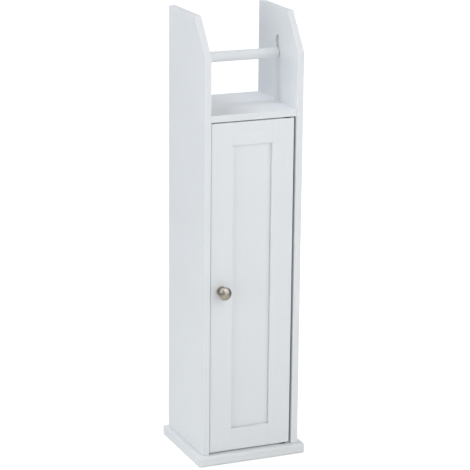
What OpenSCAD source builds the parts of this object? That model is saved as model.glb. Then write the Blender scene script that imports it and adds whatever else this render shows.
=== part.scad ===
// Slim free-standing toilet roll cabinet in white painted board: an open bay with a
// lift-up roll bar, over a tall compartment for spare rolls behind one pivoted door.
// Millimetres. The origin is the centre of the base board's underside, +Z is up,
// the door faces -Y and its pivots are on the +X side.

/* [Carcass] */
// Height from the floor to the top of the side panels
cabinet_h = 780; // [760:5:820]
// Width over the outer faces of the side panels
cabinet_w = 180; // [176:1:190]
// Depth of the side panels
cabinet_d = 165; // [160:1:180]
// Thickness of the side panels and of the shelf
board_t = 12; // [12:1:13]
// Height of the shelf's top face, which is the floor of the open bay
shelf_z = 619; // [600:1:630]
// How far the shelf's front edge lies behind those of the side panels
shelf_set_back = 1; // [0:0.5:2]
// Top front corner cut of the side panels, along the depth
corner_cut_d = 47; // [20:1:60]
// Top front corner cut of the side panels, down the front edge
corner_cut_h = 63; // [20:1:80]

/* [Base board] */
// Thickness of the base board
base_t = 18; // [16:1:22]
// How far the base stands proud of the side panels at the left, right and front
base_overhang = 10; // [6:1:14]
// Radius of the base's machined edges and front corners
base_edge_r = 4; // [2:0.5:6]

/* [Back panel] */
// Thickness of the thin back panel
back_t = 3; // [2.5:0.5:4]
// How far the back panel's groove is in from the back edges
back_inset = 8; // [6:1:12]
// Depth of the grooves that hold the back panel
back_groove_d = 4; // [3:0.5:5]

/* [Door] */
// Thickness of the door's stiles and rails
door_t = 15; // [14:0.5:16]
// Width of the stiles and rails
frame_w = 40; // [34:1:46]
// Gap between the door and the left side panel
gap_left = 1.5; // [1:0.25:3]
// Gap between the door and the right side panel, which its corner swings through
gap_right = 3.5; // [3:0.25:6]
// Gap above and below the door
gap_end = 2.2; // [1.8:0.1:3]
// How far the door's face lies behind the front edges of the side panels
door_recess = 2.5; // [1:0.5:4]
// Depth from the door's face to its centre panel
panel_recess = 5; // [4:0.5:6]
// Thickness of the centre panel
panel_t = 5; // [4:0.5:5]
// Depth of the grooves around the centre panel, and length of the rails' tongues
tongue_l = 8; // [6:1:10]

/* [Door pivots] */
// Distance from the pivot axis to the door's hinge edge
pivot_inset = 10.5; // [9:0.5:11]
// Diameter of the steel pivot pins
pivot_d = 5; // [4:0.5:5]
// Length of a pivot pin inside the carcass
pivot_seat_l = 9; // [7:1:9]
// Length of a pivot pin inside its bush
pivot_reach = 12; // [10:1:12]
// Outer diameter of the bush's sleeve
bush_d = 8; // [7:0.5:8]
// Diameter of the bush's flange
bush_flange_d = 12; // [10:0.5:12]

/* [Knob] */
// Largest diameter of the knob
knob_d = 23; // [21:1:26]
// How far the knob stands out from the door's face
knob_l = 24; // [22:0.5:26]
// Diameter of the knob's foot
knob_foot_d = 17.5; // [14:0.5:19]

/* [Roll bar] */
// Diameter of the wooden roll bar
bar_d = 18; // [16:1:20]
// Height of the bar's axis above the shelf
bar_above_shelf = 83; // [75:1:90]
// Diameter of the bar's end pins
bar_pin_d = 9; // [7:0.5:9]
// How deep an end pin reaches into a side panel
bar_pin_seat = 4; // [3:0.5:4]
// Gap between the bar's end and a side panel
bar_end_gap = 0.5; // [0.4:0.1:1.5]
// Travel of the bar up the lower leg of its groove
lift_up = 21.5; // [14:0.5:24]
// Travel of the bar towards the back over the same leg
lift_back = 6; // [2:1:8]

/* [Hidden] */
$fn = 64;

// Paint and fittings
paint_col = [0.93, 0.945, 0.955];
board_col = [0.90, 0.915, 0.925];
steel_col = [0.70, 0.71, 0.72];
nickel_col = [0.72, 0.69, 0.65];
beech_col = [0.82, 0.68, 0.48];
black_col = [0.08, 0.08, 0.09];
magnet_col = [0.20, 0.19, 0.19];
plastic_col = [0.95, 0.95, 0.94];

eps = 0.01;           // lets a cut run past the face it opens
run_fit = 0.06;       // radial clearance of a pin that turns in its bore
slide_gap = 0.3;      // clearance of a pin that slides in a groove

// Carcass
inner_w = cabinet_w - 2 * board_t;
inner_x = inner_w / 2;
outer_x = cabinet_w / 2;
base_w = cabinet_w + 2 * base_overhang;
base_d = cabinet_d + base_overhang;
back_y = base_d / 2;
front_y = back_y - cabinet_d;
mid_y = (front_y + back_y) / 2;
shelf_under_z = shelf_z - board_t;
shelf_mid_z = shelf_z - board_t / 2;
panel_mid_x = outer_x - board_t / 2;

// Back panel, loose by a little in its grooves
back_play = 0.5;
back_side_gap = 0.1;
back_face_y = back_y - back_inset - back_t;
back_hold = back_groove_d - back_play;

// Door
door_x0 = -inner_x + gap_left;
door_x1 = inner_x - gap_right;
door_z0 = base_t + gap_end;
door_z1 = shelf_under_z - gap_end;
door_face_y = front_y + door_recess;
door_back_y = door_face_y + door_t;
tongue_y = door_face_y + panel_recess;
panel_slack = 0.5;    // gap in front of the panel's edge, which shows as a shadow line
groove_y = tongue_y - panel_slack;
groove_back_y = tongue_y + panel_t;
opening_x0 = door_x0 + frame_w;
opening_x1 = door_x1 - frame_w;
opening_z0 = door_z0 + frame_w;
opening_z1 = door_z1 - frame_w;
panel_play = 1;       // room for the centre panel to swell in its grooves

// Pivots
pivot_x = door_x1 - pivot_inset;
pivot_y = door_face_y + door_t / 2;
bush_l = pivot_reach;
bush_flange_t = gap_end - 0.2;
bush_hole_l = bush_l + 2;
pin_tip = 0.8;        // chamfer on a pin's end

// Knob: a flat foot, a slim neck and a domed cap, measured out from the door's face
knob_x = door_x0 + frame_w / 2;
knob_z = (door_z0 + door_z1) / 2;
foot_t = 2.2;
foot_edge = 0.4;      // round of the foot's front edge
foot_r = knob_foot_d / 2;
neck_r = 4.2;
neck_fillet = 1.5;    // between the foot's face and the neck
neck_l = 6;           // from the door's face to where the neck starts to widen
rim_r = 2.5;
rim_x = knob_d / 2 - rim_r;
dome_l = 7;           // from the middle of the cap's rim to its front
rim_l = knob_l - dome_l;
knob_screw_r = 2;
knob_thread_l = 8;
knob_head_r = 4;
knob_head_t = 2.4;

// Magnetic catch under the shelf, and the steel plate that it holds
catch_w = 30;
catch_d = 14;
catch_h = 11;
ear_w = 8;
ear_t = 3;
catch_side_gap = 2.5; // between the catch's ear and the left side panel
catch_x = -inner_x + catch_side_gap + ear_w + catch_w / 2;
catch_gap = 0.4;      // air between the catch and the strike plate
strike_w = 22;
strike_h = 12;
strike_t = 1;
strike_edge = 1;      // from the strike plate to the door's top edge
strike_z = door_z1 - strike_edge - strike_h / 2;
catch_y = door_back_y + strike_t + catch_gap;
magnet_z = shelf_under_z - catch_h / 2 - 1;
magnet_w = 24;
magnet_t = 5;
magnet_d = 10;
pole_t = 1;
pole_proud = 0.2;
small_screw_r = 1.5;
small_screw_l = 10;
small_head_r = 3;
small_head_t = 1.8;

// Roll bar and the groove that its pins slide in
bar_y = mid_y;
bar_z = shelf_z + bar_above_shelf;
bar_end_x = inner_x - bar_end_gap;
bar_pin_in_bar = 20;
bar_bore_l = bar_pin_in_bar + 1;
groove_w = bar_pin_d + 2 * slide_gap;
groove_d = bar_pin_seat + 1;
leg_w = groove_w - 0.1;  // the legs run just inside the groove's round ends
groove_bend = [bar_y + lift_back, bar_z + lift_up];
groove_top = groove_bend + [-4, 5.5];  // the short upper leg leans forward
pocket_d = groove_d;  // lets the bar move left, so that its right pin comes free

// Fixings between shelf and side panels
cam_y = [mid_y - 23, mid_y + 53];
cam_r = 6;
cam_l = 10;
cam_inset = 24;       // from the shelf's end to the cam's axis
cam_slot_w = 1.4;
cam_slot_l = 8;
cam_slot_d = 2;
bolt_r = 2.5;
bolt_seat_l = 9;
bolt_bore_r = 3.2;
bolt_head_r = 2.8;
bolt_neck_r = 1.8;
shelf_dowel_y = [mid_y - 41, mid_y + 35];
shelf_dowel_r = 3;
shelf_dowel_seat = 8;
shelf_dowel_l = 24;

// Fixings between base board and side panels
screw_y = [mid_y - 55, mid_y + 55];
screw_r = 2;
screw_l = 45;
screw_head_r = 4;
screw_head_t = 2.6;
screw_sink = 0.4;
base_dowel_y = [mid_y - 25, mid_y + 25];
base_dowel_r = 3;
base_dowel_seat = 10;
base_dowel_l = 30;

// A box between two corners
module block(low, high) {
    translate(low) cube(high - low);
}

// A round bar along X, from x0 to x1
module rod_x(x0, x1, r, y, z) {
    translate([x0, y, z]) rotate([0, 90, 0]) cylinder(r = r, h = x1 - x0);
}

// A round bar along Y, from y0 to y1
module rod_y(y0, y1, r, x, z) {
    translate([x, y0, z]) rotate([-90, 0, 0]) cylinder(r = r, h = y1 - y0);
}

// A round bar along Z, from z0 to z1
module rod_z(z0, z1, r, x, y) {
    translate([x, y, z0]) cylinder(r = r, h = z1 - z0);
}

// A dowel or pin along Z with chamfered ends
module tipped_pin(r, l, tip) {
    translate([0, 0, tip]) cylinder(r = r, h = l - 2 * tip);
    cylinder(r1 = r - tip, r2 = r, h = tip);
    translate([0, 0, l - tip]) cylinder(r1 = r, r2 = r - tip, h = tip);
}

// A countersunk wood screw along +Z, head at the bottom, sharp at the top
module wood_screw(r, l, head_r, head_t) {
    point = 2 * r;
    cylinder(r1 = head_r, r2 = r, h = head_t);
    translate([0, 0, head_t - eps]) cylinder(r = r, h = l - head_t - point + eps);
    translate([0, 0, l - point]) cylinder(r1 = r, r2 = 0.3, h = point);
}

// The cross recess in a screw's head, along +Z from the head's face
module cross_recess(w, d) {
    arm = w / 4;
    translate([-w / 2, -arm / 2, -eps]) cube([w, arm, d + eps]);
    translate([-arm / 2, -w / 2, -eps]) cube([arm, w, d + eps]);
}

// One straight leg of the bar's groove, cut into a panel's inner face
module groove_leg(from, to) {
    run = to - from;
    side = leg_w / 2 * [-run[1], run[0]] / norm(run);
    translate([inner_x - eps, 0, 0]) rotate([90, 0, 90]) linear_extrude(groove_d + eps)
        polygon([from - side, to - side, to + side, from + side]);
}

// The closed groove of a bar pin: seat, lower leg, bend, upper leg and top
module bar_groove() {
    seat = [bar_y, bar_z];
    for (p = [seat, groove_bend, groove_top])
        rod_x(inner_x - eps, inner_x + groove_d, groove_w / 2, p[0], p[1]);
    groove_leg(seat, groove_bend);
    groove_leg(groove_bend, groove_top);
}

// The right-hand side panel with its grooves and blind holes; the left one mirrors it
module side_panel() {
    difference() {
        translate([inner_x, 0, 0]) rotate([90, 0, 90]) linear_extrude(board_t)
            polygon([
                [front_y, base_t],
                [back_y, base_t],
                [back_y, cabinet_h],
                [front_y + corner_cut_d, cabinet_h],
                [front_y, cabinet_h - corner_cut_h],
            ]);
        block([inner_x - eps, back_face_y - back_side_gap, base_t - eps],
              [inner_x + back_groove_d, back_face_y + back_t + back_side_gap,
               shelf_under_z + back_groove_d]);
        bar_groove();
        for (y = cam_y)
            rod_x(inner_x - eps, inner_x + bolt_seat_l, bolt_r, y, shelf_mid_z);
        for (y = shelf_dowel_y)
            rod_x(inner_x - eps, inner_x + shelf_dowel_seat, shelf_dowel_r, y, shelf_mid_z);
        for (y = base_dowel_y)
            rod_z(base_t - eps, base_t + base_dowel_l - base_dowel_seat,
                  base_dowel_r, panel_mid_x, y);
        for (y = screw_y)
            rod_z(base_t - eps, screw_sink + screw_l, screw_r, panel_mid_x, y);
    }
}

module left_side_panel() {
    color(paint_col) difference() {
        mirror([1, 0, 0]) side_panel();
        rod_x(-inner_x - pocket_d, -inner_x + eps, bar_d / 2 + slide_gap,
              groove_top[0], groove_top[1]);
        rod_x(-inner_x - pocket_d - bar_pin_seat, -inner_x, groove_w / 2,
              groove_top[0], groove_top[1]);
    }
}

module right_side_panel() {
    color(paint_col) side_panel();
}

// A slab whose front and side edges are rounded above and below
module eased_slab(w, d, t, r) {
    x = w / 2 - r;
    y0 = -d / 2 + r;
    block([-x, y0, 0], [x, d / 2, t]);
    block([-w / 2, y0, r], [w / 2, d / 2, t - r]);
    block([-x, -d / 2, r], [x, y0, t - r]);
    for (sx = [-1, 1]) {
        rod_z(r, t - r, r, sx * x, y0);
        for (z = [r, t - r]) {
            rod_y(y0, d / 2, r, sx * x, z);
            translate([sx * x, y0, z]) sphere(r);
        }
    }
    for (z = [r, t - r])
        rod_x(-x, x, r, y0, z);
}

module base_board() {
    color(paint_col) difference() {
        eased_slab(base_w, base_d, base_t, base_edge_r);
        block([-inner_x - back_groove_d, back_face_y - back_side_gap, base_t - back_groove_d],
              [inner_x + back_groove_d, back_face_y + back_t + back_side_gap, base_t + eps]);
        for (sx = [-1, 1]) {
            for (y = base_dowel_y)
                rod_z(base_t - base_dowel_seat, base_t + eps, base_dowel_r,
                      sx * panel_mid_x, y);
            for (y = screw_y)
                translate([sx * panel_mid_x, y, -eps]) {
                    cylinder(r = screw_head_r, h = screw_sink + 2 * eps);
                    translate([0, 0, screw_sink + eps])
                        cylinder(r1 = screw_head_r, r2 = screw_r, h = screw_head_t);
                    cylinder(r = screw_r, h = base_t + 2 * eps);
                }
        }
        rod_z(base_t - pivot_seat_l, base_t + eps, pivot_d / 2, pivot_x, pivot_y);
    }
}

module top_shelf() {
    color(paint_col) difference() {
        block([-inner_x, front_y + shelf_set_back, shelf_under_z],
              [inner_x, back_y, shelf_z]);
        block([-inner_x - eps, back_face_y - back_side_gap, shelf_under_z - eps],
              [inner_x + eps, back_face_y + back_t + back_side_gap,
               shelf_under_z + back_groove_d]);
        for (sx = [-1, 1]) {
            x_end = sx * inner_x;
            x_cam = sx * (inner_x - cam_inset);
            for (y = cam_y) {
                rod_z(shelf_under_z - eps, shelf_under_z + cam_l, cam_r, x_cam, y);
                rod_x(min(x_end, x_cam) - eps, max(x_end, x_cam) + eps, bolt_bore_r,
                      y, shelf_mid_z);
            }
            x_dowel = sx * (inner_x - shelf_dowel_l + shelf_dowel_seat);
            for (y = shelf_dowel_y)
                rod_x(min(x_end, x_dowel) - eps, max(x_end, x_dowel) + eps, shelf_dowel_r,
                      y, shelf_mid_z);
            translate([catch_x + sx * (catch_w + ear_w) / 2, catch_y + catch_d / 2,
                       shelf_under_z - eps])
                cylinder(r = small_screw_r, h = small_screw_l - ear_t + eps);
        }
        rod_z(shelf_under_z - eps, shelf_under_z + pivot_seat_l, pivot_d / 2,
              pivot_x, pivot_y);
    }
}

module back_panel() {
    color(board_col)
        block([-inner_x - back_hold, back_face_y, base_t - back_hold],
              [inner_x + back_hold, back_face_y + back_t, shelf_under_z + back_hold]);
}

// A full-height stile, grooved along the edge that faces the centre panel
module stile(x0, groove_x0) {
    difference() {
        block([x0, door_face_y, door_z0], [x0 + frame_w, door_back_y, door_z1]);
        block([groove_x0, groove_y, door_z0 - eps],
              [groove_x0 + tongue_l + eps, groove_back_y, door_z1 + eps]);
    }
}

// The cone under the strike screw's head, which runs through the plate into the stile
module strike_countersink() {
    translate([catch_x, door_back_y + strike_t, strike_z]) rotate([90, 0, 0])
        cylinder(r1 = small_head_r, r2 = small_screw_r, h = small_head_t);
}

module door_knob_stile() {
    color(paint_col) difference() {
        stile(door_x0, opening_x0 - tongue_l);
        rod_y(door_face_y - eps, door_back_y + eps, knob_screw_r, knob_x, knob_z);
        rod_y(door_back_y - small_screw_l + strike_t, door_back_y + eps, small_screw_r,
              catch_x, strike_z);
        strike_countersink();
    }
}

module door_hinge_stile() {
    color(paint_col) difference() {
        stile(door_x1 - frame_w, opening_x1 - eps);
        rod_z(door_z0 - eps, door_z0 + bush_hole_l, bush_d / 2, pivot_x, pivot_y);
        rod_z(door_z1 - bush_hole_l, door_z1 + eps, bush_d / 2, pivot_x, pivot_y);
    }
}

// A rail between the stiles, with a tongue at each end and a groove for the panel
module rail(z0, groove_z0) {
    difference() {
        union() {
            block([opening_x0, door_face_y, z0], [opening_x1, door_back_y, z0 + frame_w]);
            block([opening_x0 - tongue_l, groove_y, z0],
                  [opening_x1 + tongue_l, groove_back_y, z0 + frame_w]);
        }
        block([opening_x0 - tongue_l - eps, groove_y, groove_z0],
              [opening_x1 + tongue_l + eps, groove_back_y, groove_z0 + tongue_l + eps]);
    }
}

module door_top_rail() {
    color(paint_col) rail(opening_z1, opening_z1 - eps);
}

module door_bottom_rail() {
    color(paint_col) rail(door_z0, opening_z0 - tongue_l);
}

module door_centre_panel() {
    hold = tongue_l - panel_play;
    color(paint_col)
        block([opening_x0 - hold, tongue_y, opening_z0 - hold],
              [opening_x1 + hold, tongue_y + panel_t, opening_z1 + hold]);
}

// The outline of the turned knob: radius to the right, distance from the door upwards.
// The dome and the neck's hollow are arcs that run smoothly into the rim's round edge.
module knob_outline() {
    dome_r = (rim_x * rim_x + dome_l * dome_l - rim_r * rim_r) / (2 * (dome_l - rim_r));
    step = rim_x - neck_r;
    rise = rim_l - neck_l;
    hollow_r = (step * step + rise * rise - rim_r * rim_r) / (2 * (step + rim_r));
    dome_meets_x = rim_x * dome_r / (dome_r - rim_r);
    hollow_meets_x = rim_x + rim_r * (hollow_r - step) / (hollow_r + rim_r);
    square([foot_r - foot_edge, foot_t]);
    square([foot_r, foot_t - foot_edge]);
    translate([foot_r - foot_edge, foot_t - foot_edge]) circle(foot_edge);
    difference() {
        square([neck_r + neck_fillet, foot_t + neck_fillet]);
        translate([neck_r + neck_fillet, foot_t + neck_fillet]) circle(neck_fillet);
    }
    square([neck_r, neck_l + eps]);
    difference() {
        translate([0, neck_l]) square([hollow_meets_x, rim_l - neck_l]);
        translate([neck_r + hollow_r, neck_l]) circle(hollow_r, $fn = 96);
    }
    translate([rim_x, rim_l]) circle(rim_r);
    intersection() {
        translate([0, knob_l - dome_r]) circle(dome_r, $fn = 128);
        translate([0, rim_l]) square([dome_meets_x, dome_l]);
    }
}

module door_knob() {
    color(nickel_col) translate([knob_x, door_face_y, knob_z]) rotate([90, 0, 0])
        difference() {
            rotate_extrude($fn = 96) knob_outline();
            translate([0, 0, -eps]) cylinder(r = knob_screw_r, h = knob_thread_l + eps);
        }
}

module knob_screw() {
    shank_l = door_t + knob_thread_l;
    color(steel_col) translate([knob_x, door_back_y, knob_z]) rotate([90, 0, 0])
        difference() {
            union() {
                cylinder(r = knob_screw_r, h = shank_l);
                translate([0, 0, -knob_head_t]) cylinder(r = knob_head_r, h = knob_head_t);
            }
            translate([0, 0, -knob_head_t]) cross_recess(knob_head_r * 1.1, 1.4);
        }
}

// A steel pin pressed into the carcass; it turns in the door's bush
module pivot_pin(z0) {
    color(steel_col) translate([pivot_x, pivot_y, z0])
        tipped_pin(pivot_d / 2, pivot_seat_l + pivot_reach, pin_tip);
}

module upper_pivot_pin() {
    pivot_pin(shelf_under_z - pivot_reach);
}

module lower_pivot_pin() {
    pivot_pin(base_t - pivot_seat_l);
}

// A flanged bush, flange down, its sleeve pressed into the stile's end
module pivot_bush() {
    color(black_col) difference() {
        union() {
            cylinder(r = bush_flange_d / 2, h = bush_flange_t);
            cylinder(r = bush_d / 2, h = bush_flange_t + bush_l);
        }
        translate([0, 0, -eps])
            cylinder(r = pivot_d / 2 + run_fit, h = bush_flange_t + bush_l + 2 * eps);
    }
}

module upper_pivot_bush() {
    translate([pivot_x, pivot_y, door_z1 + bush_flange_t]) mirror([0, 0, 1]) pivot_bush();
}

module lower_pivot_bush() {
    translate([pivot_x, pivot_y, door_z0 - bush_flange_t]) pivot_bush();
}

// The catch's plastic case: a box with an ear at each side, open at the front
module catch_case() {
    slot_h = magnet_t + 2 * pole_t;
    slot_z = magnet_z - slot_h / 2;
    color(plastic_col) difference() {
        union() {
            block([catch_x - catch_w / 2, catch_y, shelf_under_z - catch_h],
                  [catch_x + catch_w / 2, catch_y + catch_d, shelf_under_z]);
            block([catch_x - catch_w / 2 - ear_w, catch_y + 2, shelf_under_z - ear_t],
                  [catch_x + catch_w / 2 + ear_w, catch_y + catch_d - 2, shelf_under_z]);
        }
        block([catch_x - magnet_w / 2, catch_y - eps, slot_z],
              [catch_x + magnet_w / 2, catch_y + magnet_d, slot_z + slot_h]);
        for (sx = [-1, 1])
            translate([catch_x + sx * (catch_w + ear_w) / 2, catch_y + catch_d / 2,
                       shelf_under_z - ear_t]) {
                translate([0, 0, -eps]) cylinder(r = small_screw_r, h = ear_t + 2 * eps);
                cylinder(r1 = small_head_r, r2 = small_screw_r, h = small_head_t);
            }
    }
}

module catch_magnet() {
    color(magnet_col)
        block([catch_x - magnet_w / 2, catch_y, magnet_z - magnet_t / 2],
              [catch_x + magnet_w / 2, catch_y + magnet_d, magnet_z + magnet_t / 2]);
}

// Two steel plates, one on each face of the magnet, that reach out to the strike plate
module catch_pole_plates() {
    color(steel_col)
        for (z = [magnet_z - magnet_t / 2 - pole_t, magnet_z + magnet_t / 2])
            block([catch_x - magnet_w / 2, catch_y - pole_proud, z],
                  [catch_x + magnet_w / 2, catch_y + magnet_d, z + pole_t]);
}

// A small countersunk screw along +Z with a cross in its head
module small_screw() {
    difference() {
        wood_screw(small_screw_r, small_screw_l, small_head_r, small_head_t);
        cross_recess(small_head_r, 1);
    }
}

module catch_screws() {
    color(steel_col)
        for (sx = [-1, 1])
            translate([catch_x + sx * (catch_w + ear_w) / 2, catch_y + catch_d / 2,
                       shelf_under_z - ear_t])
                small_screw();
}

module strike_plate() {
    color(steel_col) difference() {
        block([catch_x - strike_w / 2, door_back_y, strike_z - strike_h / 2],
              [catch_x + strike_w / 2, door_back_y + strike_t, strike_z + strike_h / 2]);
        strike_countersink();
    }
}

module strike_screw() {
    color(steel_col) translate([catch_x, door_back_y + strike_t, strike_z])
        rotate([90, 0, 0]) small_screw();
}

// The wooden bar, bored at both ends so that it turns on its pins
module roller_bar() {
    color(paint_col) difference() {
        rod_x(-bar_end_x, bar_end_x, bar_d / 2, bar_y, bar_z);
        rod_x(-bar_end_x - eps, -bar_end_x + bar_bore_l, bar_pin_d / 2 + run_fit,
              bar_y, bar_z);
        rod_x(bar_end_x - bar_bore_l, bar_end_x + eps, bar_pin_d / 2 + run_fit,
              bar_y, bar_z);
    }
}

// An end pin of the bar, with its inner end in the bar and its tip in the groove
module bar_pin(side) {
    l = bar_pin_in_bar + bar_end_gap + bar_pin_seat;
    color(beech_col) translate([side * (bar_end_x - bar_pin_in_bar), bar_y, bar_z])
        rotate([0, side * 90, 0]) tipped_pin(bar_pin_d / 2, l, pin_tip);
}

module left_bar_pin() {
    bar_pin(-1);
}

module right_bar_pin() {
    bar_pin(1);
}

// Round cams in the underside of the shelf that draw the cam bolts in
module shelf_cams() {
    color(steel_col)
        for (sx = [-1, 1])
            for (y = cam_y)
                translate([sx * (inner_x - cam_inset), y, shelf_under_z]) difference() {
                    cylinder(r = cam_r, h = cam_l);
                    translate([0, 0, board_t / 2]) rotate([0, sx * 90, 0])
                        translate([0, 0, -bolt_head_r])
                            cylinder(r = bolt_bore_r, h = cam_r + bolt_head_r + 1);
                    for (turn = [0, 90])
                        rotate([0, 0, turn])
                            translate([-cam_slot_l / 2, -cam_slot_w / 2, -eps])
                                cube([cam_slot_l, cam_slot_w, cam_slot_d + eps]);
                }
}

// Bolts screwed into the side panels; their heads are gripped by the cams
module shelf_cam_bolts() {
    neck_l = 5;
    head_l = 3;
    shank_l = bolt_seat_l + cam_inset - neck_l;
    color(steel_col)
        for (sx = [-1, 1])
            for (y = cam_y)
                translate([sx * (inner_x + bolt_seat_l), y, shelf_mid_z])
                    rotate([0, -sx * 90, 0]) {
                        cylinder(r = bolt_r, h = shank_l);
                        cylinder(r = bolt_neck_r, h = shank_l + neck_l);
                        translate([0, 0, shank_l + neck_l - head_l])
                            cylinder(r = bolt_head_r, h = head_l);
                    }
}

module shelf_dowels() {
    color(beech_col)
        for (sx = [-1, 1])
            for (y = shelf_dowel_y)
                translate([sx * (inner_x + shelf_dowel_seat), y, shelf_mid_z])
                    rotate([0, -sx * 90, 0])
                        tipped_pin(shelf_dowel_r, shelf_dowel_l, pin_tip);
}

module base_dowels() {
    color(beech_col)
        for (sx = [-1, 1])
            for (y = base_dowel_y)
                translate([sx * panel_mid_x, y, base_t - base_dowel_seat])
                    tipped_pin(base_dowel_r, base_dowel_l, pin_tip);
}

module base_screws() {
    color(steel_col)
        for (sx = [-1, 1])
            for (y = screw_y)
                translate([sx * panel_mid_x, y, screw_sink]) difference() {
                    wood_screw(screw_r, screw_l, screw_head_r, screw_head_t);
                    cross_recess(screw_head_r * 1.1, 1.6);
                }
}

left_side_panel();
right_side_panel();
base_board();
top_shelf();
back_panel();
door_knob_stile();
door_hinge_stile();
door_top_rail();
door_bottom_rail();
door_centre_panel();
door_knob();
knob_screw();
upper_pivot_pin();
lower_pivot_pin();
upper_pivot_bush();
lower_pivot_bush();
catch_case();
catch_magnet();
catch_pole_plates();
catch_screws();
strike_plate();
strike_screw();
roller_bar();
left_bar_pin();
right_bar_pin();
shelf_cams();
shelf_cam_bolts();
shelf_dowels();
base_dowels();
base_screws();
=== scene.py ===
import math

import bmesh
import bpy
from mathutils import Euler, Matrix, Vector


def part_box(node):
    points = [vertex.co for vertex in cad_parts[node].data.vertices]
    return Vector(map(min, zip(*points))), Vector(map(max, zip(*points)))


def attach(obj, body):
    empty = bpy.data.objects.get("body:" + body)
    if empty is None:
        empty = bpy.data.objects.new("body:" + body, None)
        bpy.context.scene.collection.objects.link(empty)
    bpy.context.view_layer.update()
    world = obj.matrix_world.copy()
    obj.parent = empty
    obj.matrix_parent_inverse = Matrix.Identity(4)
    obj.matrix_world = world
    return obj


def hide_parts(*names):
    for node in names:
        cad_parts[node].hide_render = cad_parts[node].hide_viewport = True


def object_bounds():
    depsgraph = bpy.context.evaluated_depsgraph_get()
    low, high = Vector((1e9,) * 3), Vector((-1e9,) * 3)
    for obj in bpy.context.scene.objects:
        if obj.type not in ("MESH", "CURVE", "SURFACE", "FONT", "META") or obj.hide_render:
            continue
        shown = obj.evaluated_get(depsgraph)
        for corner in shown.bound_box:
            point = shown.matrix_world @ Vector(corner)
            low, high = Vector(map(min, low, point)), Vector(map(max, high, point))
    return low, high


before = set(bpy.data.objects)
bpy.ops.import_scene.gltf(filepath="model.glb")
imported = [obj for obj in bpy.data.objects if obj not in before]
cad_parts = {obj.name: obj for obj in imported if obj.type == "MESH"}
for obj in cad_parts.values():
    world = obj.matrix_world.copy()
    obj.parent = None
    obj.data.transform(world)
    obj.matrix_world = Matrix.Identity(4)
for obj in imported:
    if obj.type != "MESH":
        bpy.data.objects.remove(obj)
cad_low, cad_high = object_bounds()
scene = bpy.context.scene

# The view. The cabinet is seen from its front left and from half a metre above its top, by
# a long lens about three and a half metres away, so that its uprights hardly converge.
camera_place = Vector((-1.3585, -3.1918, 1.3532))
turn_right, tilt_down, lean = 23.0495, 15.5698, 0.5539
lens_length, sensor = 158.912, 36.0

camera_data = bpy.data.cameras.new("camera")
camera_data.lens = lens_length
camera_data.sensor_width = sensor
camera = bpy.data.objects.new("camera", camera_data)
scene.collection.objects.link(camera)
aim = Euler((math.radians(90 - tilt_down), 0, math.radians(-turn_right))).to_matrix()
leaning = Matrix.Rotation(math.radians(lean), 3, "Z")
camera.matrix_world = Matrix.Translation(camera_place) @ (aim @ leaning).to_4x4()
scene.camera = camera
scene.view_settings.view_transform = "Standard"


# The studio. A white floor in a white room, a soft light that is stronger from the wall
# behind, and six softboxes. Metal shows a white sweep that dims to its sides, without the
# long lamp in front and the low one at the left. In the metal only, the floor is painted
# warmer and darker, and darker still to its sides: a painted reflection. The floor keeps the
# cabinet's shadow.
room_light = (0.1, 0.1, 0.1)
far_wall_light = (1.42, 1.427, 1.488)
floor_reach = 9.0
floor_tone = (0.86, 0.87, 0.88)
floor_glow = {"near": 0.45, "far": 0.75, "rises_from": 0.3, "rises_to": 1.2}
sweep_in_metal = {"white": 0.5, "dim": 0.12, "dims_from": 0.7, "dims_to": 0.97}
# The floor's colour as the metal sees it, not as the camera sees it: a painted reflection.
floor_painted_in_metal = {
    "near": (0.74, 0.75, 0.62), "far": (0.2, 0.2, 0.2), "dims_from": 0.4, "dims_to": 0.9}
softboxes = {
    "high_softbox": {
        "size": 2.2, "power": 12.7, "tint": (1.0, 0.94, 0.88), "place": (0.3, -1.7, 2.8)},
    "front_softbox": {
        "size": 3.6, "power": 30.7, "tint": (0.98, 0.993, 1.0), "place": (1.5, -2.2, 1.5)},
    "long_softbox": {
        "size": 2.6, "power": 20.1, "tint": (0.994, 1.0, 0.988), "place": (0.3, -3.0, 1.5)},
    "left_softbox": {
        "size": 2.2, "power": 12.0, "tint": (0.96, 1.0, 0.98), "place": (-2.5, -0.9, 1.7)},
    "low_softbox": {
        "size": 1.6, "power": 13.3, "tint": (1.0, 1.0, 0.992), "place": (-2.2, -0.8, 0.5)},
    "top_softbox": {
        "size": 0.6, "power": 12.6, "tint": (0.84, 0.9, 1.0), "place": (-0.9, 0.15, 2.6)},
}
not_in_metal = ("long_softbox", "low_softbox")


def across(tree, way, start, end, middle_value, side_value):
    """A value that goes smoothly from the middle's to the sides'."""
    off = tree.nodes.new("ShaderNodeMath")
    off.operation = "ABSOLUTE"
    tree.links.new(way, off.inputs[0])
    spread = tree.nodes.new("ShaderNodeMapRange")
    spread.interpolation_type = "SMOOTHSTEP"
    spread.inputs["From Min"].default_value = start
    spread.inputs["From Max"].default_value = end
    spread.inputs["To Min"].default_value = middle_value
    spread.inputs["To Max"].default_value = side_value
    tree.links.new(off.outputs[0], spread.inputs["Value"])
    return spread.outputs["Result"]


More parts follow.
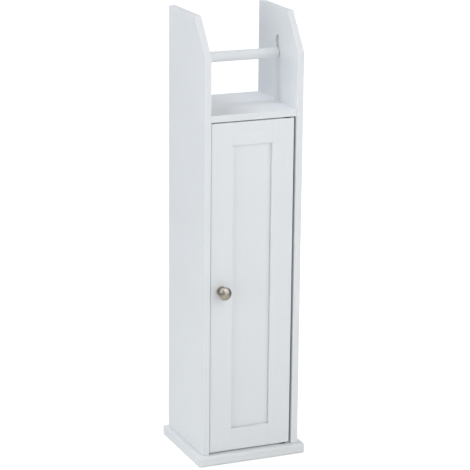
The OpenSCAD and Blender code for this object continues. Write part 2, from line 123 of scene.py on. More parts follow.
room = bpy.data.worlds.new("room")
room.use_nodes = True
scene.world = room
tree = room.node_tree
tree.nodes.clear()
even = tree.nodes.new("ShaderNodeBackground")
even.inputs["Color"].default_value = (*room_light, 1)
wall = tree.nodes.new("ShaderNodeBackground")
wall.inputs["Color"].default_value = (*far_wall_light, 1)
way = tree.nodes.new("ShaderNodeSeparateXYZ")
tree.links.new(tree.nodes.new("ShaderNodeTexCoord").outputs["Generated"], way.inputs[0])
behind = tree.nodes.new("ShaderNodeMath")
behind.operation = "MAXIMUM"
tree.links.new(way.outputs["Y"], behind.inputs[0])
behind.inputs[1].default_value = 0
tree.links.new(behind.outputs[0], wall.inputs["Strength"])
lit = tree.nodes.new("ShaderNodeAddShader")
tree.links.new(even.outputs[0], lit.inputs[0])
tree.links.new(wall.outputs[0], lit.inputs[1])
mirrored = tree.nodes.new("ShaderNodeBackground")
tree.links.new(
    across(tree, way.outputs["X"], sweep_in_metal["dims_from"], sweep_in_metal["dims_to"],
           sweep_in_metal["white"], sweep_in_metal["dim"]),
    mirrored.inputs["Strength"])
white = tree.nodes.new("ShaderNodeBackground")
white.inputs["Color"].default_value = (1, 1, 1, 1)
path = tree.nodes.new("ShaderNodeLightPath")
in_metal = tree.nodes.new("ShaderNodeMixShader")
tree.links.new(path.outputs["Is Glossy Ray"], in_metal.inputs[0])
tree.links.new(lit.outputs[0], in_metal.inputs[1])
tree.links.new(mirrored.outputs[0], in_metal.inputs[2])
either = tree.nodes.new("ShaderNodeMixShader")
tree.links.new(path.outputs["Is Camera Ray"], either.inputs[0])
tree.links.new(in_metal.outputs[0], either.inputs[1])
tree.links.new(white.outputs[0], either.inputs[2])
tree.links.new(either.outputs[0], tree.nodes.new("ShaderNodeOutputWorld").inputs["Surface"])

floor_mesh = bpy.data.meshes.new("studio_floor")
corners = [(x * floor_reach, y * floor_reach, 0)
           for x, y in ((-1, -1), (1, -1), (1, 1), (-1, 1))]
floor_mesh.from_pydata(corners, [], [(0, 1, 2, 3)])
floor = bpy.data.objects.new("studio_floor", floor_mesh)
scene.collection.objects.link(floor)
sweep = bpy.data.materials.new("studio_sweep")
sweep.use_nodes = True
tree = sweep.node_tree
tree.nodes.clear()
path = tree.nodes.new("ShaderNodeLightPath")
place = tree.nodes.new("ShaderNodeTexCoord").outputs["Object"]
spot = tree.nodes.new("ShaderNodeSeparateXYZ")
tree.links.new(place, spot.inputs[0])
# For glossy rays the floor turns warmer and darker, and dark towards its sides: a painted
# reflection seen only in the metal.
far_dim = tree.nodes.new("ShaderNodeMix")
far_dim.data_type = "RGBA"
far_dim.inputs["A"].default_value = (*floor_painted_in_metal["near"], 1)
far_dim.inputs["B"].default_value = (*floor_painted_in_metal["far"], 1)
tree.links.new(
    across(tree, spot.outputs["X"], floor_painted_in_metal["dims_from"], floor_painted_in_metal["dims_to"], 0, 1),
    far_dim.inputs["Factor"])
sheet = tree.nodes.new("ShaderNodeMix")
sheet.data_type = "RGBA"
sheet.inputs["A"].default_value = (*floor_tone, 1)
tree.links.new(path.outputs["Is Glossy Ray"], sheet.inputs["Factor"])
tree.links.new(far_dim.outputs["Result"], sheet.inputs["B"])
matt = tree.nodes.new("ShaderNodeBsdfDiffuse")
tree.links.new(sheet.outputs["Result"], matt.inputs["Color"])
glow = tree.nodes.new("ShaderNodeEmission")
away = tree.nodes.new("ShaderNodeVectorMath")
away.operation = "LENGTH"
tree.links.new(place, away.inputs[0])
lift = tree.nodes.new("ShaderNodeMath")
lift.operation = "MULTIPLY"
tree.links.new(
    across(tree, away.outputs["Value"], floor_glow["rises_from"], floor_glow["rises_to"],
           floor_glow["near"], floor_glow["far"]),
    lift.inputs[1])
tree.links.new(path.outputs["Is Camera Ray"], lift.inputs[0])
tree.links.new(lift.outputs[0], glow.inputs["Strength"])
both = tree.nodes.new("ShaderNodeAddShader")
tree.links.new(matt.outputs[0], both.inputs[0])
tree.links.new(glow.outputs[0], both.inputs[1])
tree.links.new(both.outputs[0], tree.nodes.new("ShaderNodeOutputMaterial").inputs["Surface"])
floor.data.materials.append(sweep)

middle = Vector((0, 0, cad_high.z / 2))
for name, box in softboxes.items():
    light = bpy.data.lights.new(name, "AREA")
    light.shape = "SQUARE"
    light.size = box["size"]
    light.energy = box["power"]
    light.color = box["tint"]
    lamp = bpy.data.objects.new(name, light)
    scene.collection.objects.link(lamp)
    lamp.visible_glossy = name not in not_in_metal
    lamp.location = box["place"]
    lamp.rotation_euler = (middle - lamp.location).to_track_quat("-Z", "Y").to_euler()


# The side panels are 12 mm boards that stand on the base and run up past the shelf, with a
# slanted cut at the top front corner. They are sawn, grooved by a router for the back panel
# and for the ends of the roll bar, eased by sanding, and painted white.
mm = 0.001
panel_ease = 0.9 * mm
inner_ease_share = 0.45
corner_cut_deep, corner_cut_down = 47 * mm, 63 * mm
bar_groove_r, bar_groove_deep = 4.8 * mm, 5 * mm
groove_steps = ((0, 0), (6 * mm, 21.5 * mm), (2 * mm, 27 * mm))
bar_pocket_r, bar_hole_deep, pocket_corner = 9.3 * mm, 9 * mm, 0.3 * mm
back_slot_play, back_slot_deep = 0.1 * mm, 4 * mm
over, close = 1 * mm, 0.01 * mm
flat_within, sharp_from, about_face = math.radians(0.5), math.radians(25), math.radians(179)
on_outline = 0.999
paint_tone, paint_shine = (0.80, 0.822, 0.838), 0.35
streak_scale, cloud_scale, stipple_scale = 420, 9, 1300
streak_stretch = 0.04
noise_low, noise_high = 0.25, 0.75
gloss_below, gloss_above = 0.05, 0.06
brush_relief, brush_relief_deep = 0.35, 0.06 * mm


def prism(name, outline, axis, low, high):
    """A solid with a flat outline, drawn from low to high along an axis. The outline's
    points are (y, z) for an axis of X, (x, z) for Y and (x, y) for Z."""
    place = {
        "X": lambda a, b, along: (along, a, b),
        "Y": lambda a, b, along: (a, along, b),
        "Z": lambda a, b, along: (a, b, along),
    }[axis]
    shape = bmesh.new()
    ends = [[shape.verts.new(place(a, b, along)) for a, b in outline] for along in (low, high)]
    for end in ends:
        shape.faces.new(end)
    for i in range(len(outline)):
        shape.faces.new((ends[0][i - 1], ends[0][i], ends[1][i], ends[1][i - 1]))
    bmesh.ops.recalc_face_normals(shape, faces=shape.faces)
    mesh = bpy.data.meshes.new(name)
    shape.to_mesh(mesh)
    shape.free()
    piece = bpy.data.objects.new(name, mesh)
    scene.collection.objects.link(piece)
    return piece


def block(name, low, high):
    """A square-edged solid between two corners."""
    outline = [(low[0], low[1]), (high[0], low[1]), (high[0], high[1]), (low[0], high[1])]
    return prism(name, outline, "Z", low[2], high[2])


def ring(a, b, radius, steps=32):
    """The points of a circle about (a, b)."""
    turns = [math.tau * i / steps for i in range(steps)]
    return [(a + radius * math.cos(t), b + radius * math.sin(t)) for t in turns]


def settle(piece):
    """Works the piece's modifiers into its mesh."""
    shaped = bpy.data.meshes.new_from_object(
        piece.evaluated_get(bpy.context.evaluated_depsgraph_get()))
    piece.modifiers.clear()
    piece.data = shaped


def cut_away(piece, *tools):
    """Takes the tools' shapes out of the piece, one after the other."""
    for tool in tools:
        cut = piece.modifiers.new("cut", "BOOLEAN")
        cut.operation = "DIFFERENCE"
        cut.solver = "EXACT"
        cut.object = tool
    settle(piece)
    for tool in tools:
        bpy.data.objects.remove(tool)


def ease_edges(piece, width, share=lambda spot: 1.0, segments=3):
    """Rounds the piece's outer edges over. share(middle of the edge) scales the width there."""
    shape = bmesh.new()
    shape.from_mesh(piece.data)
    bmesh.ops.dissolve_limit(shape, angle_limit=flat_within, verts=shape.verts,
                             edges=shape.edges)
    shape.normal_update()
    weight = shape.edges.layers.float.new("bevel_weight_edge")
    for edge in shape.edges:
        sharp = len(edge.link_faces) == 2 and edge.calc_face_angle() > sharp_from
        if sharp and edge.is_convex:
            edge[weight] = share((edge.verts[0].co + edge.verts[1].co) / 2)
    shape.to_mesh(piece.data)
    shape.free()
    piece.data.shade_smooth()
    rounding = piece.modifiers.new("rounding", "BEVEL")
    rounding.limit_method = "WEIGHT"
    rounding.width = width
    rounding.segments = segments
    rounding.use_clamp_overlap = False
    rounding.harden_normals = True
    piece.data.set_sharp_from_angle(angle=sharp_from)
    settle(piece)


def paint(name, tone, grain, streak=0.012, dapple=0.010, gloss=0.42):
    """White satin paint laid on a board along its grain: faint streaks from the brush and
    the grain under it, a fine stipple, and a slow change of tone and gloss."""
    finish = bpy.data.materials.new(name)
    finish.use_nodes = True
    tree = finish.node_tree
    shader = tree.nodes["Principled BSDF"]
    shader.inputs["Specular IOR Level"].default_value = paint_shine
    spot = tree.nodes.new("ShaderNodeTexCoord").outputs["Object"]

    def noise(scale, stretch, detail):
        fit = tree.nodes.new("ShaderNodeMapping")
        fit.inputs["Scale"].default_value = stretch
        tree.links.new(spot, fit.inputs["Vector"])
        cloud = tree.nodes.new("ShaderNodeTexNoise")
        cloud.inputs["Scale"].default_value = scale
        cloud.inputs["Detail"].default_value = detail
        tree.links.new(fit.outputs[0], cloud.inputs["Vector"])
        return cloud.outputs["Fac"]

    def between(value, low, high):
        spread = tree.nodes.new("ShaderNodeMapRange")
        spread.inputs["From Min"].default_value = noise_low
        spread.inputs["From Max"].default_value = noise_high
        spread.inputs["To Min"].default_value = low
        spread.inputs["To Max"].default_value = high
        tree.links.new(value, spread.inputs["Value"])
        return spread.outputs["Result"]

    def combine(operation, first, second):
        both = tree.nodes.new("ShaderNodeMath")
        both.operation = operation
        tree.links.new(first, both.inputs[0])
        tree.links.new(second, both.inputs[1])
        return both.outputs[0]

    stretch = [streak_stretch if axis == grain else 1 for axis in "XYZ"]
    streaks = noise(streak_scale, stretch, 3)
    clouds = noise(cloud_scale, (1, 1, 1), 2)
    stipple = noise(stipple_scale, (1, 1, 1), 2)
    shade = combine("MULTIPLY", between(streaks, 1 - streak, 1 + streak),
                    between(clouds, 1 - dapple, 1 + dapple))
    tint = tree.nodes.new("ShaderNodeMix")
    tint.data_type = "RGBA"
    tint.inputs["A"].default_value = (0, 0, 0, 1)
    tint.inputs["B"].default_value = (*tone, 1)
    tint.clamp_factor = False
    tree.links.new(shade, tint.inputs["Factor"])
    tree.links.new(tint.outputs["Result"], shader.inputs["Base Color"])
    tree.links.new(between(clouds, gloss - gloss_below, gloss + gloss_above),
                   shader.inputs["Roughness"])
    relief = tree.nodes.new("ShaderNodeBump")
    relief.inputs["Strength"].default_value = brush_relief
    relief.inputs["Distance"].default_value = brush_relief_deep
    tree.links.new(combine("ADD", streaks, stipple), relief.inputs["Height"])
    tree.links.new(relief.outputs[0], shader.inputs["Normal"])
    return finish


def towards(angle, far):
    """A step of a given length at an angle in radians."""
    return far * Vector((math.cos(angle), math.sin(angle)))


def groove_outline(turns, radius, steps=16):
    """The outline of a groove that a round cutter leaves on its way from turn to turn: the
    way there and back, with an arc round each turn."""
    outline = []
    route = list(turns) + list(turns[-2:0:-1]) + [turns[0]]
    sides = [math.atan2(b.y - a.y, b.x - a.x) - math.pi / 2 for a, b in zip(route, route[1:])]
    for i, side in enumerate(sides):
        bend = (sides[(i + 1) % len(sides)] - side + math.pi) % math.tau - math.pi
        if abs(bend) > about_face:
            bend = math.pi
        outline.append(route[i] + towards(side, radius))
        outline += [route[i + 1] + towards(side + bend * step / steps, radius)
                    for step in range(steps + 1)]
    return outline


def off_route(point, turns):
    """A point's distance from the line that runs straight between the turns."""
    gaps = []
    for a, b in zip(turns, turns[1:]):
        leg = b - a
        share = min(1, max(0, (point - a).dot(leg) / leg.length_squared))
        gaps.append((point - a - leg * share).length)
    return min(gaps)


def with_pocket(groove, turns, groove_radius, radius, clear, steps=48):
    """The groove's outline with a round pocket at its last turn. Points that lie close to
    where the two shapes meet are left out, so that the meeting corners are clean."""
    top = turns[-1]
    outside = [(point - top).length > radius + clear for point in groove]
    first = next(i for i in range(len(groove)) if outside[i] and not outside[i - 1])
    order = [(first + i) % len(groove) for i in range(len(groove))]
    legs = [groove[i] for i in order if outside[i]]
    start = math.atan2(legs[-1].y - top.y, legs[-1].x - top.x)
    circle = [top + towards(start + math.tau * i / steps, radius) for i in range(steps)]
    return legs + [point for point in circle if off_route(point, turns) > groove_radius + clear]


base_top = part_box("base_board")[1].z
shelf_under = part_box("top_shelf")[0].z
back_low, back_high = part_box("back_panel")
bar_low, bar_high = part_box("roller_bar")
bar_seat = Vector(((bar_low.y + bar_high.y) / 2, (bar_low.z + bar_high.z) / 2))
bar_turns = [bar_seat + Vector(step) for step in groove_steps]
bar_groove = [point for point in groove_outline(bar_turns, bar_groove_r)
              if off_route(point, bar_turns) > bar_groove_r * on_outline]
upright_paint = paint("upright_paint", paint_tone, "Z")

for name, side in (("left_side_panel", -1), ("right_side_panel", 1)):
    low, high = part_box(name)
    inner = high.x if side < 0 else low.x
    outline = [
        (low.y, low.z),
        (high.y, low.z),
        (high.y, high.z),
        (low.y + corner_cut_deep, high.z),
        (low.y, high.z - corner_cut_down),
    ]
    panel = prism("painted_" + name, outline, "X", low.x, high.x)
    mouth = inner - side * over
    cut_outline = bar_groove
    if side < 0:
        cut_outline = with_pocket(bar_groove, bar_turns, bar_groove_r, bar_pocket_r,
                                  pocket_corner)
    tools = [
        prism("groove", cut_outline, "X", *sorted((mouth, inner + side * bar_groove_deep))),
        block("back_slot",
              (min(mouth, inner + side * back_slot_deep), back_low.y - back_slot_play,
               base_top - over),
              (max(mouth, inner + side * back_slot_deep), back_high.y + back_slot_play,
               shelf_under + back_slot_deep)),
    ]
    if side < 0:
        top = bar_turns[-1]
        tools.append(prism("bar_hole", ring(top.x, top.y, bar_groove_r), "X",
                           inner - bar_hole_deep, mouth))
    cut_away(panel, *tools)
    ease_edges(panel, panel_ease, lambda spot: (
        inner_ease_share if abs(spot.x - inner) < close and spot.z < high.z - over else 1.0))
    panel.data.materials.append(upright_paint)
    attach(panel, "cabinet")
    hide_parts(name)


# The base is a thicker board that stands out past the sides and the front. Its front and
# side edges are rounded by a router, its back edge is square, and four wood screws go up
# through its underside into the side panels.
base_round = 4 * mm
base_back_ease = 0.5 * mm
screw_r, screw_head_r, screw_sink, screw_cone = 2 * mm, 4 * mm, 0.4 * mm, 2.6 * mm
screw_in, screw_apart = 16 * mm, 55 * mm

low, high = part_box("base_board")
base = block("painted_base", low, high)
tools = [block("back_slot", (back_low.x - over / 2, back_low.y - back_slot_play, back_low.z),
               (back_high.x + over / 2, back_high.y + back_slot_play, high.z + over))]
for sx in (-1, 1):
    for sy in (-1, 1):
        x, y = sx * (high.x - screw_in), bar_seat.x + sy * screw_apart
        tools.append(prism("pilot", ring(x, y, screw_r), "Z", low.z - over, high.z + over))
        tools.append(prism("sink", ring(x, y, screw_head_r), "Z",
                           low.z - over, low.z + screw_sink + screw_cone / 2))
cut_away(base, *tools)
ease_edges(base, base_round, segments=6, share=lambda spot: (
    1.0 if spot.y < high.y - over and max(abs(spot.x) - high.x, low.y - spot.y) > -over
    else base_back_ease / base_round))
base.data.materials.append(paint("base_paint", paint_tone, "X"))
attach(base, "cabinet")
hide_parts("base_board")


# The shelf is a painted board between the sides, which roofs the cupboard and floors the
# open bay. Round cams in its underside pull it against the sides.
shelf_ease = 0.7 * mm
shelf_joint_share = 0.15
cam_r, cam_deep, cam_in = 6 * mm, 10 * mm, 24 * mm
cam_places = (-23 * mm, 53 * mm)

low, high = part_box("top_shelf")
shelf = block("painted_shelf", low, high)
tools = [block("back_slot", (low.x - over, back_low.y - back_slot_play, low.z - over),
               (high.x + over, back_high.y + back_slot_play, low.z + back_slot_deep))]
for sx in (-1, 1):
    for along in cam_places:
        seat = ring(sx * (high.x - cam_in), bar_seat.x + along, cam_r)
        tools.append(prism("cam_seat", seat, "Z", low.z - over, low.z + cam_deep))
cut_away(shelf, *tools)
ease_edges(shelf, shelf_ease, lambda spot: (
    1.0 if spot.y < low.y + over
    else shelf_joint_share if high.x - abs(spot.x) < close or spot.y < high.y - over
    else 1.0))
board_paint = paint("board_paint", paint_tone, "X")
shelf.data.materials.append(board_paint)
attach(shelf, "cabinet")
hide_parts("top_shelf")


# The back is a sheet of thin hardboard with a painted face, slid into grooves in the sides,
# the base and the shelf. Its paint is thinner and flatter than the boards' own.
sheet_ease, sheet_rounding = 0.3 * mm, 2
sheet_tone = (0.745, 0.765, 0.78)

low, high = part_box("back_panel")
back = block("painted_back", low, high)
ease_edges(back, sheet_ease, segments=sheet_rounding)
back.data.materials.append(
    paint("sheet_paint", sheet_tone, "Z", streak=0.02, dapple=0.02, gloss=0.6))
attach(back, "cabinet")
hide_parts("back_panel")


# The door's frame is two stiles and two rails of 15 mm board. The stiles are grooved along
# their inner edges, the rails' tongues are glued into the same grooves, and the joints are
# sanded nearly flush before the paint, so only a hairline shows.
door_ease, inner_ease, joint_ease = 1.1 * mm, 0.3 * mm, 0.12 * mm
tongue_long, panel_slack = 8 * mm, 0.85 * mm
bush_bore_r, bush_bore_deep = 4 * mm, 14 * mm

panel_low, panel_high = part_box("door_centre_panel")
groove_front, groove_back = panel_low.y - panel_slack, panel_high.y
frame_left, frame_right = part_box("door_knob_stile")[1].x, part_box("door_hinge_stile")[0].x
for name, inner in (("door_knob_stile", frame_left), ("door_hinge_stile", frame_right)):
    low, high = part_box(name)
    stile = block("painted_" + name, low, high)
    inward = -1 if inner == high.x else 1
    reach = sorted((inner - inward * over, inner + inward * tongue_long))
    tools = [block("groove", (reach[0], groove_front, low.z - over),
                   (reach[1], groove_back, high.z + over))]
    if name == "door_hinge_stile":
        pin_low, pin_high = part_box("upper_pivot_pin")
        x, y = (pin_low.x + pin_high.x) / 2, (pin_low.y + pin_high.y) / 2
        bore = ring(x, y, bush_bore_r)
        tools += [prism("bush_bore", bore, "Z", low.z - over, low.z + bush_bore_deep),
                  prism("bush_bore", bore, "Z", high.z - bush_bore_deep, high.z + over)]
    cut_away(stile, *tools)
    ease_edges(stile, door_ease, lambda spot: (
        inner_ease / door_ease if abs(spot.x - inner) < tongue_long + over else 1.0))
    stile.data.materials.append(upright_paint)
    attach(stile, "door")
    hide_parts(name)

for name, top in (("door_top_rail", True), ("door_bottom_rail", False)):
    low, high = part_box(name)
    rail = block("painted_" + name, low, high)
    tools = []
    for end in ((low.x - over, frame_left), (frame_right, high.x + over)):
        for depth in ((low.y - over, groove_front), (groove_back, high.y + over)):
            tools.append(block("cheek", (end[0], depth[0], low.z - over),
                               (end[1], depth[1], high.z + over)))
    inner = low.z if top else high.z
    reach = (inner - over, inner + tongue_long) if top else (inner - tongue_long, inner + over)
    tools.append(block("groove", (low.x - over, groove_front, reach[0]),
                       (high.x + over, groove_back, reach[1])))
    cut_away(rail, *tools)
    ease_edges(rail, door_ease, lambda spot: (
        joint_ease / door_ease if min(abs(spot.x - frame_left), abs(spot.x - frame_right)) < over
        else inner_ease / door_ease if abs(spot.z - inner) < tongue_long + over else 1.0))
    rail.data.materials.append(board_paint)
    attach(rail, "door")
    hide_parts(name)


# The centre panel is a thinner board that floats in the frame's grooves with room to swell,
# so a fine dark line shows all round it where the frame's lips stand off its face.
low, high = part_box("door_centre_panel")
field = block("painted_centre_panel", low, high)
ease_edges(field, sheet_ease, segments=sheet_rounding)
field.data.materials.append(upright_paint)
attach(field, "door")
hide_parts("door_centre_panel")


# The knob is turned from solid metal and plated with satin nickel: a flat foot, a slim neck
# that widens in a hollow, and a domed cap with a round rim. A screw from behind holds it.
foot_r, foot_thick, foot_edge = 8.75 * mm, 2.2 * mm, 0.4 * mm
neck_r, neck_at, neck_fillet = 4.2 * mm, 6 * mm, 1.5 * mm
rim_r, dome_rise = 2.5 * mm, 7 * mm
turned_sharp_from = math.radians(30)

low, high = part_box("door_knob")
knob_r, knob_long = (high.x - low.x) / 2, high.y - low.y
knob_place = Vector(((low.x + high.x) / 2, high.y, (low.z + high.z) / 2))
rim_x, rim_y = knob_r - rim_r, knob_long - dome_rise


def arc(x, y, radius, start, end, steps):
    """Points along an arc about (x, y), between two angles in degrees, both ends included."""
    turns = [math.radians(start + (end - start) * i / steps) for i in range(steps + 1)]
    return [(x + radius * math.cos(t), y + radius * math.sin(t)) for t in turns]


def turned(name, profile, place, axis, steps=96):
    """A turned solid: its profile's (radius, distance) points swept about an axis at place.
    A profile starts and ends on the axis, or is the closed outline of a ring's section."""
    shape = bmesh.new()
    is_ring = profile[0][0] > 0
    lines = []
    for i in range(steps):
        turn = math.tau * i / steps
        c, s = math.cos(turn), math.sin(turn)
        lines.append([shape.verts.new((r * c, r * s, d))
                      for r, d in (profile if is_ring else profile[1:-1])])
    if not is_ring:
        ends = [shape.verts.new((0, 0, profile[0][1])), shape.verts.new((0, 0, profile[-1][1]))]
    for i in range(steps):
        a, b = lines[i - 1], lines[i]
        if is_ring:
            shape.faces.new((a[-1], b[-1], b[0], a[0]))
        else:
            shape.faces.new((ends[0], b[0], a[0]))
            shape.faces.new((ends[1], a[-1], b[-1]))
        for j in range(len(a) - 1):
            shape.faces.new((a[j], b[j], b[j + 1], a[j + 1]))
    bmesh.ops.recalc_face_normals(shape, faces=shape.faces)
    laid = Vector((0, 0, 1)).rotation_difference(Vector(axis)).to_matrix().to_4x4()
    shape.transform(Matrix.Translation(place) @ laid)
    mesh = bpy.data.meshes.new(name)
    shape.to_mesh(mesh)
    shape.free()
    mesh.shade_smooth()
    mesh.set_sharp_from_angle(angle=turned_sharp_from)
    piece = bpy.data.objects.new(name, mesh)
    scene.collection.objects.link(piece)
    return piece


dome_r = (rim_x ** 2 + dome_rise ** 2 - rim_r ** 2) / (2 * (dome_rise - rim_r))
step_in, rise = rim_x - neck_r, rim_y - neck_at
hollow_r = (step_in ** 2 + rise ** 2 - rim_r ** 2) / (2 * (step_in + rim_r))
hollow_x = neck_r + hollow_r
tangent = math.degrees(math.atan2(rim_y - neck_at, rim_x - hollow_x))
dome_tilt = math.degrees(math.atan2(rim_y - (knob_long - dome_r), rim_x))
profile = [(0, 0), (foot_r, 0)]
profile += arc(foot_r - foot_edge, foot_thick - foot_edge, foot_edge, 0, 90, 6)
profile += arc(neck_r + neck_fillet, foot_thick + neck_fillet, neck_fillet, 270, 180, 10)
profile += arc(hollow_x, neck_at, hollow_r, 180, tangent, 24)
profile += arc(rim_x, rim_y, rim_r, tangent - 180, dome_tilt, 16)[1:]
profile += arc(0, knob_long - dome_r, dome_r, dome_tilt, 90, 24)[1:]
knob = turned("nickel_knob", profile, knob_place, (0, -1, 0))


def brushed_metal(name, tone, roughness, place, axis, rings, mottling=140, dark=0.92,
                  light=1.06, smooth=0.8, rough=1.25, relief_share=0.25, relief_deep=0.02 * mm):
    """Plated metal with fine turning lines, rings to the metre out from an axis, and faint
    clouds. Its tone and its roughness vary between the given shares of themselves."""
    finish = bpy.data.materials.new(name)
    finish.use_nodes = True
    tree = finish.node_tree
    shader = tree.nodes["Principled BSDF"]
    shader.inputs["Metallic"].default_value = 1.0
    spot = tree.nodes.new("ShaderNodeTexCoord").outputs["Object"]
    shift = tree.nodes.new("ShaderNodeVectorMath")
    shift.operation = "SUBTRACT"
    shift.inputs[1].default_value = place
    tree.links.new(spot, shift.inputs[0])
    flat = tree.nodes.new("ShaderNodeVectorMath")
    flat.operation = "MULTIPLY"
    flat.inputs[1].default_value = [0 if a else 1 for a in axis]
    tree.links.new(shift.outputs[0], flat.inputs[0])
    out = tree.nodes.new("ShaderNodeVectorMath")
    out.operation = "LENGTH"
    tree.links.new(flat.outputs[0], out.inputs[0])
    lines = tree.nodes.new("ShaderNodeTexNoise")
    lines.noise_dimensions = "1D"
    lines.inputs["Scale"].default_value = rings
    lines.inputs["Detail"].default_value = 4
    tree.links.new(out.outputs["Value"], lines.inputs["W"])
    clouds = tree.nodes.new("ShaderNodeTexNoise")
    clouds.inputs["Scale"].default_value = mottling
    clouds.inputs["Detail"].default_value = 3
    tree.links.new(spot, clouds.inputs["Vector"])
    tint = tree.nodes.new("ShaderNodeMix")
    tint.data_type = "RGBA"
    tint.inputs["A"].default_value = (*(c * dark for c in tone), 1)
    tint.inputs["B"].default_value = (*(min(1, c * light) for c in tone), 1)
    tree.links.new(clouds.outputs["Fac"], tint.inputs["Factor"])
    tree.links.new(tint.outputs["Result"], shader.inputs["Base Color"])
    spread = tree.nodes.new("ShaderNodeMapRange")
    spread.inputs["To Min"].default_value = roughness * smooth
    spread.inputs["To Max"].default_value = roughness * rough
    tree.links.new(lines.outputs["Fac"], spread.inputs["Value"])
    tree.links.new(spread.outputs["Result"], shader.inputs["Roughness"])
    relief = tree.nodes.new("ShaderNodeBump")
    relief.inputs["Strength"].default_value = relief_share
    relief.inputs["Distance"].default_value = relief_deep
    tree.links.new(lines.outputs["Fac"], relief.inputs["Height"])
    tree.links.new(relief.outputs[0], shader.inputs["Normal"])
    return finish


nickel_tone, nickel_roughness, turning_lines = (0.57, 0.53, 0.49), 0.27, 5000
# The nickel's edge tint is set dark, so the knob's rim turns dark at grazing angles: painted
# shade along the rim, standing in for dark reflections there.
rim_painted_shade = (0.15, 0.15, 0.15)
satin_nickel = brushed_metal("satin_nickel", nickel_tone, nickel_roughness, knob_place,
                             (0, 1, 0), turning_lines)
shader = satin_nickel.node_tree.nodes["Principled BSDF"]
shader.inputs["Specular Tint"].default_value = (*rim_painted_shade, 1)
knob.data.materials.append(satin_nickel)
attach(knob, "door")
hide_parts("door_knob")


# The roll bar is a round wooden rod, painted white like the boards. It is bored at both ends
# and turns on two plain beech pins, whose tips hang in the side panels' grooves.
bar_edge = 0.6 * mm
pin_bore_r, bore_long = 4.56 * mm, 21 * mm

bar_r, bar_long = (bar_high.y - bar_low.y) / 2, bar_high.x - bar_low.x
bar_start = Vector((bar_low.x, bar_seat.x, bar_seat.y))
profile = [(0, bore_long), (pin_bore_r, bore_long), (pin_bore_r, 0)]
profile += arc(bar_r - bar_edge, bar_edge, bar_edge, -90, 0, 5)
profile += arc(bar_r - bar_edge, bar_long - bar_edge, bar_edge, 0, 90, 5)
profile += [(pin_bore_r, bar_long), (pin_bore_r, bar_long - bore_long)]
profile += [(0, bar_long - bore_long)]
bar = turned("painted_roll_bar", profile, bar_start, (1, 0, 0), 64)
bar.data.materials.append(
    paint("bar_paint", paint_tone, "X", streak=0.016, dapple=0.012, gloss=0.36))
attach(bar, "bar")
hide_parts("roller_bar")


def plain(name, tone, vary, roughness, grain=(1, 1, 1), scale=300, metallic=0.0,
          smooth=0.8, rough=1.2, relief_share=0.4, relief_deep=0.03 * mm):
    """A finish of one tone that varies a little, with a fine relief: wood, plastic or plating.
    Its roughness varies between the given shares of itself."""
    finish = bpy.data.materials.new(name)
    finish.use_nodes = True
    tree = finish.node_tree
    shader = tree.nodes["Principled BSDF"]
    shader.inputs["Metallic"].default_value = metallic
    fit = tree.nodes.new("ShaderNodeMapping")
    fit.inputs["Scale"].default_value = grain
    tree.links.new(tree.nodes.new("ShaderNodeTexCoord").outputs["Object"], fit.inputs["Vector"])
    cloud = tree.nodes.new("ShaderNodeTexNoise")
    cloud.inputs["Scale"].default_value = scale
    cloud.inputs["Detail"].default_value = 5
    tree.links.new(fit.outputs[0], cloud.inputs["Vector"])
    tint = tree.nodes.new("ShaderNodeMix")
    tint.data_type = "RGBA"
    tint.inputs["A"].default_value = (*(c * (1 - vary) for c in tone), 1)
    tint.inputs["B"].default_value = (*(min(1, c * (1 + vary)) for c in tone), 1)
    tree.links.new(cloud.outputs["Fac"], tint.inputs["Factor"])
    tree.links.new(tint.outputs["Result"], shader.inputs["Base Color"])
    spread = tree.nodes.new("ShaderNodeMapRange")
    spread.inputs["To Min"].default_value = roughness * smooth
    spread.inputs["To Max"].default_value = roughness * rough
    tree.links.new(cloud.outputs["Fac"], spread.inputs["Value"])
    tree.links.new(spread.outputs["Result"], shader.inputs["Roughness"])
    relief = tree.nodes.new("ShaderNodeBump")
    relief.inputs["Strength"].default_value = relief_share
    relief.inputs["Distance"].default_value = relief_deep
    tree.links.new(cloud.outputs["Fac"], relief.inputs["Height"])
    tree.links.new(relief.outputs[0], shader.inputs["Normal"])
    return finish


def dress(names, finish, softening=0.0, weld_within=0.002 * mm, soften_from=math.radians(40)):
    """Gives frame parts their finish, and where it is asked for softens their edges a little."""
    for name in names:
        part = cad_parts[name]
        for slot in part.material_slots:
            slot.material = finish
        if softening:
            join = part.modifiers.new("join", "WELD")
            join.merge_threshold = weld_within
            rounding = part.modifiers.new("rounding", "BEVEL")
            rounding.limit_method = "ANGLE"
            rounding.angle_limit = soften_from
            rounding.width = softening
            rounding.segments = 2
            rounding.harden_normals = True


beech_tone, beech_grain = (0.60, 0.42, 0.24), (0.06, 1, 1)
beech = plain("beech", beech_tone, vary=0.18, roughness=0.6, grain=beech_grain, scale=700)
dress(["left_bar_pin", "right_bar_pin"], beech)


# The pivots. A steel pin in the base and one in the shelf each turn in a black nylon bush in
# the end of the hinge stile. Each bush's flange fills the gap and shows there as a dark spot.
flange_r, flange_thick, flange_edge = 7.3 * mm, 2 * mm, 0.1 * mm
pin_hole_r = 2.56 * mm
nylon_tone, nylon_shine = (0.005, 0.005, 0.006), 0.12
steel_tone = (0.58, 0.59, 0.60)

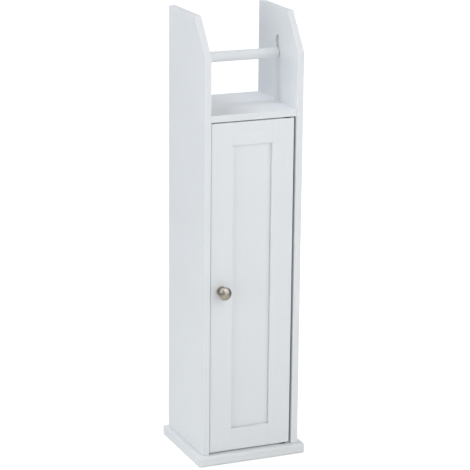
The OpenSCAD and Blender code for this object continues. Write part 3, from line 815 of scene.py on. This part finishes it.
black_nylon = plain("black_nylon", nylon_tone, vary=0.25, roughness=0.6, scale=900)
shader = black_nylon.node_tree.nodes["Principled BSDF"]
shader.inputs["Specular IOR Level"].default_value = nylon_shine
for name, flange_up in (("upper_pivot_bush", True), ("lower_pivot_bush", False)):
    low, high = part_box(name)
    x, y, long = (low.x + high.x) / 2, (low.y + high.y) / 2, high.z - low.z
    profile = [(pin_hole_r, 0)] + arc(flange_r - flange_edge, flange_edge, flange_edge, -90, 0, 3)
    profile += arc(flange_r - flange_edge, flange_thick - flange_edge, flange_edge, 0, 90, 3)
    profile += [(bush_bore_r, flange_thick), (bush_bore_r, long), (pin_hole_r, long)]
    bush = turned("black_" + name, profile, (x, y, high.z if flange_up else low.z),
                  (0, 0, -1 if flange_up else 1), 64)
    bush.data.materials.append(black_nylon)
    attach(bush, "door")
    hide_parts(name)

zinc_steel = plain("zinc_steel", steel_tone, vary=0.10, roughness=0.32, scale=260, metallic=1.0)
dress(["upper_pivot_pin", "lower_pivot_pin"], zinc_steel)


# The catch. A white plastic case under the shelf holds a ferrite magnet between two steel
# plates, which pull the small steel plate that is screwed to the back of the door.
case_tone, case_ease = (0.80, 0.80, 0.785), 0.5 * mm
ferrite_tone, magnet_ease = (0.055, 0.052, 0.05), 0.3 * mm
plate_ease = 0.15 * mm

white_plastic = plain("white_plastic", case_tone, vary=0.02, roughness=0.38, scale=600)
dress(["catch_case"], white_plastic, case_ease)
ferrite = plain("ferrite", ferrite_tone, vary=0.2, roughness=0.65, scale=500)
dress(["catch_magnet"], ferrite, magnet_ease)
dress(["catch_pole_plates", "strike_plate"], zinc_steel, plate_ease)
dress(["catch_screws", "strike_screw", "knob_screw"], zinc_steel)


# The fixings. Zinc cams and steel bolts draw the shelf to the sides, plain beech dowels keep
# its place, and dowels and wood screws hold the sides on the base.
cam_tone = (0.50, 0.51, 0.52)

cast_zinc = plain("cast_zinc", cam_tone, vary=0.12, roughness=0.42, scale=420, metallic=1.0)
dress(["shelf_cams"], cast_zinc)
dress(["shelf_cam_bolts", "base_screws"], zinc_steel)
dress(["shelf_dowels", "base_dowels"], beech)
